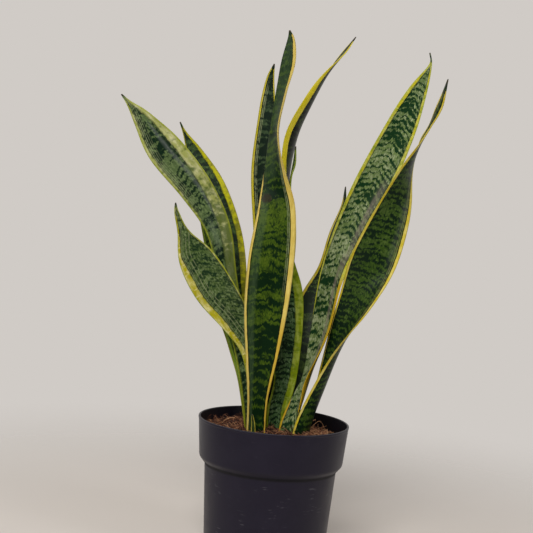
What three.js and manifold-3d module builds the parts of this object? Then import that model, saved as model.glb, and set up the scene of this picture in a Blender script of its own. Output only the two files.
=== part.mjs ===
// A potted snake plant: a nursery pot with a stepped collar, coarse soil, a creeping rootstock
// in the soil, and eleven stiff upright leaves with a young shoot before them.
// Millimetres, +Z up, the origin at the middle of the pot's underside, the front towards -Y.
import * as THREE from "three";
import { mergeVertices } from "three/addons/utils/BufferGeometryUtils.js";
import Module from "manifold-3d";

const wasm = await Module();
wasm.setup();

// Pot
const POT_HEIGHT = 175;
const RIM_RADIUS = 96;
const COLLAR_HEIGHT = 50;
const COLLAR_FOOT_RADIUS = 91.5;
const COLLAR_STEP = 9; // how far down the slope under the collar reaches
const BODY_TOP_RADIUS = 84;
const BASE_RADIUS = 76.5;
const WALL = 1.6;
const LIP = 2.4; // thickness of the wall at the rim
const LIP_HEIGHT = 2.4;
const LIP_OVERHANG = 0.5;
const EDGE = 0.8; // rounding of the moulded edges
const FLOOR = 2.2;
const FOOT_ROUND = 2;
const SIDES = 48; // round the pot and the soil alike, so that the gap between them is even
const DRAIN_HOLES = 6;
const DRAIN_RADIUS = 5;
const DRAIN_CIRCLE = 48;
const DRAIN_SIDES = 16;
const STEP_TOP = POT_HEIGHT - COLLAR_HEIGHT;
const STEP_FOOT = STEP_TOP - COLLAR_STEP;

// Soil
const GAP = 0.3; // clearance between neighbouring pieces
const SOIL_TOP = 159.5;
const SOIL_DIP = 9; // the soil has shrunk away from the wall on the right
const DIP_INNER = 66;
const DIP_OUTER = 80;
const SOIL_RINGS = [86, 78, 66, 48, 26]; // radii at which its top is shaped
const CRUMB_HEIGHT = 1.6;
const CRUMB_LENGTH = 20; // from one crumb to the next, sideways
const CRUMB_DEPTH = 17; // and from front to back
const CRUMB_LEAN = 1.2;
const CRUMB_DRIFT = 5;
const CRUMBS_END = 91; // the radius at which they have faded out
const CRUMBS_FADE = 3;

// Rootstock
const ROOT_RADIUS = 5;
const ROOT_SIDES = 8;
const ROOT_RING = 6; // distance from one ring of the root to the next
const ROOT_RING_DEPTH = 0.08; // share of its radius
const ROOT_END_SIZE = 0.6; // and of a blunt end
const ROOT_END_BULGE = 1;
const ROOT_OVERRUN = 7; // how far a branch reaches beyond its last leaf
const ROOT_CLEARANCE = 0.35; // between the rootstock and the leaves' feet

// Leaves
const ROOT_END = 134; // the height at which every leaf leaves the rootstock
const ROOT_LEVEL = ROOT_END - ROOT_RADIUS - ROOT_CLEARANCE;
const ROWS_PER_CUT = 2;
const STRIPS = 6;
const MARGIN_THICKNESS = 1;
const TIP_THICKNESS = 1.3;
const BLADE_THICKNESS = 2;
const FOOT_THICKNESS = 1.9;
const WIDE_BLADE = 30; // from this width on a blade has its full thickness
const FLAT = 0.02; // the least bend across a blade, in radians
const MARGIN_WAVE = 1.1; // how far the margins wander to the front and back
const WAVES = 5;
const WAVE_LEAN = 0.25;
const WAVE_START = 0.1; // share of the leaf's length at which the waves begin
const WAVE_FULL = 0.35;
const SLOT_GAP = 0.4;
const SLOT_DEPTH = 2.5; // how far a leaf's hole in the soil reaches below the leaf

// Each leaf is a list of cuts across it, from the foot up: where the midrib passes, the width
// across the blade, how far the blade has turned (degrees; with a positive turn its right margin
// comes forward) and how deep its channel is (degrees from the midrib to a margin).
const LEAVES = {
  leaf_left_tall: [
    [-28, 9, ROOT_END, 17, 0, 60],
    [-29, 8, 165, 18, 0, 55],
    [-39, 5, 222, 18, 0, 45],
    [-54, 0, 282, 20, 5, 35],
    [-72, -8, 351, 26, 5, 28],
    [-89, -20, 413, 33, 5, 22],
    [-120, -34, 462, 44, 0, 20],
    [-160, -46, 504, 45, 0, 18],
    [-187, -54, 536, 26, 0, 14],
    [-206, -58, 555, 7, 0, 8],
    [-216, -60, 565, 1.6, 0, 5],
  ],
  leaf_left_back: [
    [-22, 30, ROOT_END, 15, 0, 60],
    [-24, 30, 162, 16, 0, 55],
    [-33, 34, 202, 17, 0, 50],
    [-46, 42, 257, 21, 0, 40],
    [-60, 56, 330, 27, 0, 30],
    [-76, 72, 402, 33, 0, 22],
    [-102, 86, 461, 33, 0, 20],
    [-131, 95, 506, 23, 0, 15],
    [-149, 99, 535, 6, 0, 8],
    [-157, 100, 550, 1.6, 0, 5],
  ],
  leaf_left_low: [
    [-21, -5, ROOT_END, 18, 0, 60],
    [-21, -6, 165, 20, 0, 55],
    [-24, -7, 191, 20, 0, 50],
    [-29, -9, 229, 22, 0, 42],
    [-38, -12, 267, 27, 0, 35],
    [-58, -19, 301, 42, 0, 26],
    [-86, -34, 338, 54, 0, 20],
    [-112, -48, 376, 45, 0, 18],
    [-129, -59, 406, 15, 0, 12],
    [-138, -66, 428, 6, 0, 8],
    [-140, -70, 440, 1.6, 0, 5],
  ],
  leaf_left_hidden: [
    [-29, 19, ROOT_END, 15, 0, 55],
    [-30, 18, 161, 16, 0, 50],
    [-42, 19, 217, 17, 0, 45],
    [-57, 22, 267, 22, 0, 38],
    [-79, 28, 325, 30, 0, 28],
    [-95, 36, 385, 24, 0, 22],
    [-116, 44, 434, 9, 0, 12],
    [-131, 48, 449, 1.6, 0, 5],
  ],
  leaf_centre_front: [
    [-22, -15, ROOT_END, 24, 0, 60],
    [-22, -17, 162, 27, 0, 55],
    [-23, -22, 204, 28, 0, 45],
    [-22, -29, 256, 41, 0, 32],
    [-22, -36, 317, 55, 0, 24],
    [-20, -40, 377, 58, -4, 20],
    [-17, -41, 437, 50, 15, 20],
    [-21, -41, 481, 42, 46, 22],
    [-25, -40, 520, 38, 66, 28],
    [-25, -39, 547, 34, 76, 30],
    [-22, -41, 583, 28, 60, 24],
    [-18, -44, 617, 23, 40, 16],
    [-17, -47, 646, 11, 25, 10],
    [-20, -49, 659, 1.8, 20, 5],
  ],
  leaf_centre_back: [
    [-13, 42, ROOT_END, 16, 0, 55],
    [-13, 42, 164, 18, 0, 50],
    [-18, 44, 231, 23, 0, 40],
    [-22, 50, 307, 30, 0, 30],
    [-31, 58, 400, 29, 0, 25],
    [-39, 62, 493, 33, 0, 22],
    [-40, 62, 563, 24, 0, 18],
    [-40, 60, 609, 12, 0, 10],
    [-36, 58, 632, 1.6, 0, 5],
  ],
  leaf_arching: [
    [-2, 28, ROOT_END, 15, 0, 55],
    [-2, 28, 167, 16, 0, 50],
    [-6, 30, 220, 20, 0, 42],
    [-8, 34, 299, 28, 0, 32],
    [-3, 38, 389, 32, 14, 28],
    [0, 50, 440, 34, 60, 26],
    [-6, 56, 480, 36, 98, 28],
    [-3, 62, 537, 36, 116, 28],
    [15, 66, 587, 30, 112, 24],
    [35, 72, 626, 20, 92, 20],
    [55, 77, 656, 12, 66, 14],
    [69, 80, 679, 1.6, 60, 5],
  ],
  leaf_mid_back: [
    [3, 19, ROOT_END, 22, 0, 55],
    [3, 19, 160, 26, 0, 50],
    [4, 19, 186, 28, 0, 44],
    [10, 19, 226, 31, 0, 38],
    [7, 17, 284, 44, 0, 28],
    [3, 17, 336, 43, 0, 24],
    [-5, 20, 386, 26, 0, 22],
    [-5, 22, 437, 14, 0, 16],
    [-3, 24, 481, 7, 70, 12],
    [0, 25, 503, 5, 40, 8],
    [0, 26, 525, 1.6, 30, 5],
  ],
  leaf_right_back: [
    [20, 30, ROOT_END, 17, 0, 55],
    [20, 30, 165, 20, 0, 50],
    [20, 34, 190, 22, 0, 44],
    [23, 42, 227, 28, 0, 36],
    [31, 52, 274, 38, 0, 28],
    [41, 64, 321, 41, 0, 24],
    [54, 76, 367, 23, 0, 22],
    [63, 88, 415, 16, 0, 16],
    [72, 96, 454, 7, 0, 8],
    [73, 100, 481, 1.6, 0, 5],
  ],
  leaf_right_tall: [
    [19, 1, ROOT_END, 23, 22, 60],
    [20, 1, 164, 26, 31, 55],
    [33, 1, 205, 30, 68, 55],
    [41, 1, 235, 32, 83, 47],
    [53.5, 2, 295, 36, 47, 42],
    [62, 2, 367, 38, 33, 36],
    [81, 0, 434, 42, 14, 26],
    [106, -2, 497, 47, 0, 20],
    [130, -4, 559, 39, 0, 18],
    [147, -6, 605, 23, 0, 14],
    [159, -7, 637, 4, 0, 8],
    [157, -8, 652, 1.6, 0, 5],
  ],
  leaf_right_front: [
    [41, -6, ROOT_END, 30, 122, 62],
    [42, -7, 166, 39, 125, 62],
    [61, -11, 229, 44, 97, 72],
    [78, -19, 290, 51, 70, 50],
    [95, -30, 343, 56, 42, 36],
    [108, -42, 396, 58, 3, 21],
    [123, -52, 451, 49, -18, 8],
    [135, -60, 498, 39, -58, -12],
    [147, -66, 533, 23, -80, -16],
    [156, -70, 553, 16, -92, -10],
    [162, -73, 570, 14, -112, 6],
    [167, -76, 587, 11, -114, 8],
    [172, -78, 612, 1.6, -110, 5],
  ],
  sprout: [
    [-25, -34, ROOT_END, 7, 0, 50],
    [-25, -34, 152, 7, 0, 45],
    [-25, -34.5, 164, 6, 0, 40],
    [-26, -35, 175, 4.5, 0, 30],
    [-28, -35, 186, 1.6, 0, 5],
  ],
};

// The rootstock creeps under the leaves' feet and forks twice.
const ROOT_BRANCHES = [
  [
    "sprout",
    "leaf_centre_front",
    "leaf_left_low",
    "leaf_left_tall",
    "leaf_left_hidden",
    "leaf_left_back",
    "leaf_centre_back",
  ],
  ["leaf_left_back", "leaf_arching", "leaf_right_back"],
  ["leaf_arching", "leaf_mid_back", "leaf_right_tall", "leaf_right_front"],
];

const finish = (color, roughness) =>
  new THREE.MeshStandardMaterial({ color, roughness, metalness: 0 });

// A smooth step from 0 to 1 between two distances
const rise = (from, to, at) => THREE.MathUtils.smoothstep(at, from, to);

// Solids and booleans
function solidFrom(geometry) {
  const plain = geometry.index ? geometry.toNonIndexed() : geometry.clone();
  plain.deleteAttribute("normal");
  plain.deleteAttribute("uv");
  const merged = mergeVertices(plain, 1e-3);
  const mesh = new wasm.Mesh({
    numProp: 3,
    vertProperties: merged.attributes.position.array,
    triVerts: new Uint32Array(merged.index.array),
  });
  return new wasm.Manifold(mesh);
}

function indexed(positions, faces) {
  const geometry = new THREE.BufferGeometry();
  geometry.setAttribute("position", new THREE.Float32BufferAttribute(positions, 3));
  geometry.setIndex(faces);
  return geometry;
}

function geometryFrom(solid) {
  const mesh = solid.getMesh();
  const geometry = new THREE.BufferGeometry();
  const positions = new THREE.BufferAttribute(new Float32Array(mesh.vertProperties), 3);
  geometry.setAttribute("position", positions);
  geometry.setIndex(new THREE.BufferAttribute(new Uint32Array(mesh.triVerts), 1));
  geometry.computeVertexNormals();
  return geometry;
}

function lathe(profile, sides) {
  const points = profile.map(([radius, height]) => new THREE.Vector2(radius, height));
  return new THREE.LatheGeometry(points, sides).rotateX(Math.PI / 2);
}

// Pot: one moulded shell, with a thin lip, a collar that steps out, and drain holes in its floor
function potSolid() {
  const outside = [
    [0, 0],
    [BASE_RADIUS - FOOT_ROUND, 0],
    [BASE_RADIUS, FOOT_ROUND],
    [BODY_TOP_RADIUS, STEP_FOOT],
    [COLLAR_FOOT_RADIUS - EDGE, STEP_TOP - EDGE],
    [COLLAR_FOOT_RADIUS, STEP_TOP + EDGE],
    [RIM_RADIUS - LIP_OVERHANG, POT_HEIGHT - LIP_HEIGHT - EDGE],
    [RIM_RADIUS, POT_HEIGHT - LIP_HEIGHT],
    [RIM_RADIUS, POT_HEIGHT - EDGE],
    [RIM_RADIUS - EDGE, POT_HEIGHT],
  ];
  const inside = [
    [RIM_RADIUS - LIP + EDGE / 2, POT_HEIGHT],
    [RIM_RADIUS - LIP, POT_HEIGHT - EDGE],
    [RIM_RADIUS - LIP, POT_HEIGHT - LIP_HEIGHT],
    [COLLAR_FOOT_RADIUS - WALL, STEP_TOP + EDGE],
    [BODY_TOP_RADIUS - WALL, STEP_FOOT + EDGE],
    [BASE_RADIUS - WALL, FLOOR],
    [0, FLOOR],
  ];
  let pot = solidFrom(lathe([...outside, ...inside], SIDES));
  for (let i = 0; i < DRAIN_HOLES; i++) {
    const angle = ((i + 0.5) / DRAIN_HOLES) * 2 * Math.PI;
    const hole = new THREE.CylinderGeometry(DRAIN_RADIUS, DRAIN_RADIUS, 4 * FLOOR, DRAIN_SIDES);
    hole.rotateX(Math.PI / 2);
    hole.translate(DRAIN_CIRCLE * Math.cos(angle), DRAIN_CIRCLE * Math.sin(angle), 0);
    pot = pot.subtract(solidFrom(hole));
  }
  return pot;
}

// The inner radius of the collar at a height
const wallRadius = (height) =>
  THREE.MathUtils.mapLinear(
    height,
    STEP_TOP + EDGE,
    POT_HEIGHT - LIP_HEIGHT,
    COLLAR_FOOT_RADIUS - WALL,
    RIM_RADIUS - LIP,
  );

// One row of crumbs after another in one direction, drifting as it goes in the other
const swell = (along, length, beside) =>
  Math.sin((2 * Math.PI * along) / length + CRUMB_LEAN * Math.sin(beside / CRUMB_DRIFT));

// Height of the soil at a place: a crumbly mound that has sunk along the right of the wall
function soilHeight(x, y) {
  const radius = Math.hypot(x, y);
  const toRight = Math.max(0, x / Math.max(radius, 1));
  const dip = SOIL_DIP * toRight * rise(DIP_INNER, DIP_OUTER, radius);
  const crumbs = swell(x, CRUMB_LENGTH, y) * swell(y, CRUMB_DEPTH, x);
  const fade = 1 - rise(CRUMBS_END - CRUMBS_FADE, CRUMBS_END, radius);
  return SOIL_TOP + CRUMB_HEIGHT * crumbs * fade - dip;
}

// Soil: fills the pot, with a plain hole for each leaf and a burrow for the rootstock
function soilSolid(leafHoles, burrow) {
  const inset = WALL + GAP;
  const profile = [
    [0, FLOOR + GAP],
    [BASE_RADIUS - inset, FLOOR + GAP],
    [BODY_TOP_RADIUS - inset, STEP_FOOT + EDGE + GAP],
    [COLLAR_FOOT_RADIUS - inset, STEP_TOP + 2 * EDGE],
    [wallRadius(SOIL_TOP) - GAP, SOIL_TOP],
    ...SOIL_RINGS.map((radius) => [radius, SOIL_TOP]),
    [0, SOIL_TOP],
  ];
  const geometry = lathe(profile, SIDES);
  const place = geometry.attributes.position;
  for (let i = 0; i < place.count; i++) {
    const x = place.getX(i);
    const y = place.getY(i);
    if (place.getZ(i) < SOIL_TOP - EDGE) continue;
    const height = soilHeight(x, y);
    const reach = Math.min(1, (wallRadius(height) - GAP) / Math.max(1, Math.hypot(x, y)));
    place.setXYZ(i, x * reach, y * reach, height);
  }
  let soil = solidFrom(geometry);
  for (const hole of [burrow, ...leafHoles]) soil = soil.subtract(hole);
  return soil;
}

// One branch of the rootstock: a stout root, ringed like ginger and blunt at both ends.
// grown makes it larger all round, as the burrow that it lies in.
function rootBranch(leafNames, grown) {
  const feet = leafNames.map((name) => {
    const [x, y] = LEAVES[name][0];
    return new THREE.Vector3(x, y, ROOT_LEVEL);
  });
  const beyond = (last, before) =>
    last.clone().add(last.clone().sub(before).setLength(ROOT_OVERRUN));
  const start = beyond(feet[0], feet[1]);
  const end = beyond(feet.at(-1), feet.at(-2));
  const path = new THREE.CatmullRomCurve3([start, ...feet, end], false, "centripetal");
  const steps = Math.round(path.getLength() / ROOT_RING);
  const frames = path.computeFrenetFrames(steps, false);
  const positions = [];
  const faces = [];
  for (let step = 0; step <= steps; step++) {
    const centre = path.getPointAt(step / steps);
    const atEnd = step === 0 || step === steps;
    const girth = atEnd ? ROOT_END_SIZE : 1 - ROOT_RING_DEPTH * (step % 2);
    const radius = ROOT_RADIUS * girth + grown;
    for (let side = 0; side < ROOT_SIDES; side++) {
      const angle = (side / ROOT_SIDES) * 2 * Math.PI;
      const point = centre
        .clone()
        .addScaledVector(frames.normals[step], radius * Math.cos(angle))
        .addScaledVector(frames.binormals[step], radius * Math.sin(angle));
      positions.push(point.x, point.y, point.z);
    }
  }
  for (let step = 0; step < steps; step++)
    for (let side = 0; side < ROOT_SIDES; side++) {
      const next = (side + 1) % ROOT_SIDES;
      const ring = step * ROOT_SIDES;
      const above = ring + ROOT_SIDES;
      faces.push(ring + side, ring + next, above + next, ring + side, above + next, above + side);
    }
  for (const at of [0, 1]) {
    const ring = at * steps * ROOT_SIDES;
    const outward = path.getTangentAt(at).multiplyScalar(at ? 1 : -1);
    const pole = path.getPointAt(at).addScaledVector(outward, ROOT_END_BULGE + grown);
    const tip = positions.length / 3;
    positions.push(pole.x, pole.y, pole.z);
    for (let side = 0; side < ROOT_SIDES; side++) {
      const next = (side + 1) % ROOT_SIDES;
      if (at) faces.push(ring + side, ring + next, tip);
      else faces.push(ring + next, ring + side, tip);
    }
  }
  return solidFrom(indexed(positions, faces));
}

// Rootstock: its branches grown together
function rootSolid(grown = 0) {
  const branches = ROOT_BRANCHES.map((leafNames) => rootBranch(leafNames, grown));
  return branches.reduce((root, branch) => root.add(branch));
}

// Where a blade's grid stands: the midrib, and the two directions of the blade there
function bladeFrame(midrib, form, u) {
  const along = midrib.getTangent(u);
  const shape = form.getPoint(u);
  const turn = THREE.MathUtils.degToRad(shape.y);
  const right = new THREE.Vector3(1, 0, 0).addScaledVector(along, -along.x).normalize();
  const front = new THREE.Vector3().crossVectors(right, along);
  return {
    centre: midrib.getPoint(u),
    across: right.clone().multiplyScalar(Math.cos(turn)).addScaledVector(front, Math.sin(turn)),
    facing: front.clone().multiplyScalar(Math.cos(turn)).addScaledVector(right, -Math.sin(turn)),
    along,
    width: shape.x,
    channel: THREE.MathUtils.degToRad(shape.z),
  };
}

// One leaf: a front and a back skin with the same grid, joined along the margins and at both ends.
// grown makes the same leaf larger all round, and longer at its foot, as the hole that it stands in.
function leafSolid(cuts, grown = 0) {
  const midrib = new THREE.CatmullRomCurve3(
    cuts.map(([x, y, z]) => new THREE.Vector3(x, y, z)),
    false,
    "catmullrom",
    0.5,
  );
  const form = new THREE.CatmullRomCurve3(
    cuts.map(([, , , width, turn, channel]) => new THREE.Vector3(width, turn, channel)),
    false,
    "catmullrom",
    0.5,
  );
  const rows = (cuts.length - 1) * ROWS_PER_CUT;
  const across = STRIPS + 1;
  const positions = [];
  for (const side of [1, -1])
    for (let row = 0; row <= rows; row++) {
      const u = row / rows;
      const cut = bladeFrame(midrib, form, u);
      if (grown && row === 0) cut.centre.addScaledVector(cut.along, -SLOT_DEPTH);
      const channel = Math.abs(cut.channel) < FLAT ? FLAT : cut.channel;
      const radius = (cut.width + 2 * grown) / (2 * channel);
      const stout = Math.min(1, cut.width / WIDE_BLADE);
      const middle = TIP_THICKNESS + BLADE_THICKNESS * stout + FOOT_THICKNESS * (1 - u) ** 4;
      const fade = rise(WAVE_START, WAVE_FULL, u) * stout;
      for (let strip = 0; strip <= STRIPS; strip++) {
        const v = (2 * strip) / STRIPS - 1;
        const bend = v * channel;
        const wave = Math.abs(v) ** 3 * Math.sin(2 * Math.PI * (WAVES * u + WAVE_LEAN * v));
        const half = (MARGIN_THICKNESS + (middle - MARGIN_THICKNESS) * (1 - v * v)) / 2 + grown;
        const skin = cut.facing
          .clone()
          .multiplyScalar(Math.cos(bend))
          .addScaledVector(cut.across, -Math.sin(bend));
        const point = cut.centre
          .clone()
          .addScaledVector(cut.across, radius * Math.sin(bend))
          .addScaledVector(cut.facing, radius * (1 - Math.cos(bend)))
          .addScaledVector(skin, side * half + MARGIN_WAVE * wave * fade);
        positions.push(point.x, point.y, point.z);
      }
    }
  const back = (rows + 1) * across;
  const faces = [];
  const quad = (a, b, c, d) => faces.push(a, b, c, a, c, d);
  for (let row = 0; row < rows; row++)
    for (let strip = 0; strip < STRIPS; strip++) {
      const a = row * across + strip;
      const b = a + across;
      faces.push(a, a + 1, b + 1, a, b + 1, b);
      faces.push(back + a, back + b + 1, back + a + 1, back + a, back + b, back + b + 1);
    }
  for (let row = 0; row < rows; row++) {
    const left = row * across;
    const right = left + STRIPS;
    quad(left, left + across, back + left + across, back + left);
    quad(back + right, back + right + across, right + across, right);
  }
  for (let strip = 0; strip < STRIPS; strip++) {
    const top = rows * across + strip;
    quad(back + strip, back + strip + 1, strip + 1, strip);
    quad(top, top + 1, back + top + 1, back + top);
  }
  return solidFrom(indexed(positions, faces));
}

const plant = new THREE.Group();
const place = (name, solid, material) => {
  const mesh = new THREE.Mesh(geometryFrom(solid), material);
  mesh.name = name;
  plant.add(mesh);
};

place("pot", potSolid(), finish(0x24242a, 0.5));
const leafHoles = Object.values(LEAVES).map((cuts) => leafSolid(cuts, SLOT_GAP));
place("soil", soilSolid(leafHoles, rootSolid(GAP)), finish(0x5a3a28, 0.95));
place("rootstock", rootSolid(), finish(0xb8863c, 0.8));
for (const [name, cuts] of Object.entries(LEAVES))
  place(name, leafSolid(cuts), finish(0x3f5f2c, 0.35));

export default plant;
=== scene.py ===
"""A potted snake plant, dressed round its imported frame: the banded leaves with their pale borders,
the fibrous soil, the moulded pot, and a plain stage with soft light.
Lengths are millimetres until MM makes them metres, and the angles in the tables are degrees."""

import random
from math import ceil, cos, hypot, pi, radians, sin, sqrt

import bmesh
import bpy
from mathutils import Matrix, Vector, noise


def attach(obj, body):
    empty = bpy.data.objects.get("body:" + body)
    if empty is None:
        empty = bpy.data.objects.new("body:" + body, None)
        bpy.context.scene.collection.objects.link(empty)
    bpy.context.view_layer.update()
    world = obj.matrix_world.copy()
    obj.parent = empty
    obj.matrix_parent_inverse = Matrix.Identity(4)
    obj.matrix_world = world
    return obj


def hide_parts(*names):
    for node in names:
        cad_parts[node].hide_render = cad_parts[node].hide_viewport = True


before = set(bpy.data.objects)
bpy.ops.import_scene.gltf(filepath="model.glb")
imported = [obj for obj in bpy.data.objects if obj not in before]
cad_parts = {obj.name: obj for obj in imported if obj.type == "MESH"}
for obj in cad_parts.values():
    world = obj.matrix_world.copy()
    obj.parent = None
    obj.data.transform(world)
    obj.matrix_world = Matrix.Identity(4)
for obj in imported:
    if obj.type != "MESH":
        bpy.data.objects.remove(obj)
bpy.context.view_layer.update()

MM = 0.001
SEED = 11
BODY = "root"

# Camera: where it looks, from how far, and its tilts in degrees
AIM = Vector((-25, 0, 369))
DISTANCE = 1400
LOOK_DOWN = 2.6
ROLL = 4.6
FOCAL_PIXELS = 1105
FRAME_PIXELS = 533
SENSOR = 36

# Stage
WALL_TONE = (208, 203, 198)
ROOM_TONE = (78, 76, 74)
ROOM_FADE = (-0.5, 0.75)  # from the room's tone to the wall's, as a direction turns to the back
FLOOR_TONE = (222, 215, 208)
FLOOR_FADE = (150, 1100)
FLOOR_RADIUS = 3000
FLOOR_DROP = 0.5
FLOOR_SIDES = 96

# Lights: the place of each one, its width and height, its power and its colour
LIT_POINT = Vector((0, 0, 350))
LIGHTS = {
    "lamp": ((-500, -2200, 2100), (1400, 1000), 60, (1, 0.98, 0.95)),
    "window": ((-2000, -1500, 900), (700, 1600), 14, (0.97, 0.98, 1)),
    "opening": ((2000, -1300, 800), (600, 1600), 13, (0.97, 0.98, 1)),
}

# Pot
POT_HEIGHT = 175
RIM_RADIUS = 96
COLLAR_HEIGHT = 50
COLLAR_FOOT_RADIUS = 91.5
COLLAR_STEP = 9
BODY_TOP_RADIUS = 84
BASE_RADIUS = 76.5
WALL = 1.6
LIP = 2.4
LIP_HEIGHT = 2.4
LIP_OVERHANG = 0.5
EDGE = 0.8
FLOOR = 2.2
FOOT_ROUND = 2
STEP_ROUND = 1.5
COLLAR_ROUND = 2.2
CREASE_ROUND = 0.3
BRIM_ROUND = 0.4
LIP_ROUND = 0.9
ARC_STEPS = 4
DRAIN_HOLES = 6
DRAIN_RADIUS = 5
DRAIN_CIRCLE = 48
DRAIN_SIDES = 32
STEP_TOP = POT_HEIGHT - COLLAR_HEIGHT
STEP_FOOT = STEP_TOP - COLLAR_STEP
POT_SIDES = 144
POT_GLOSS = 0.25

# Soil
GAP = 0.3
SOIL_TOP = 159.5
SOIL_DIP = 9
DIP_RADII = (66, 80)
PAINTED_LIGHT_SIDE = (10, 70)  # from where to where the soil is painted lighter towards the right: painted light
CRUMB_HEIGHT = 1.6
CRUMB_LENGTH = 20
CRUMB_DEPTH = 17
CRUMB_LEAN = 1.2
CRUMB_DRIFT = 5
CRUMBS_END = 91
CRUMBS_FADE = 3
SOIL_SIDES = 120
SOIL_RING_STEP = 2.2
GRIT_SIZES = ((7, 1.1), (3.2, 0.7))  # width and height of the small lumps in the soil

# Litter
FIBRE_RADIUS = (0.22, 0.5)
FIBRE_LENGTH = (10, 26)
FIBRE_STEPS = 7
FIBRE_SIDES = 3
TWIG_RADIUS = 0.55
TWIG_STEPS = 12
TWIG_SIDES = 5
TWIG_TINT = 0.95
TWIGS = [
    [(44, 22, 158), (55, 34, 168), (62, 38, 170), (71, 34, 157)],
    [(34, 30, 158), (44, 40, 166), (56, 46, 171)],
    [(-70, 18, 158), (-60, 24, 167), (-50, 20, 170)],
    [(-4, -50, 160), (8, -58, 163), (18, -52, 161)],
]

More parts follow.
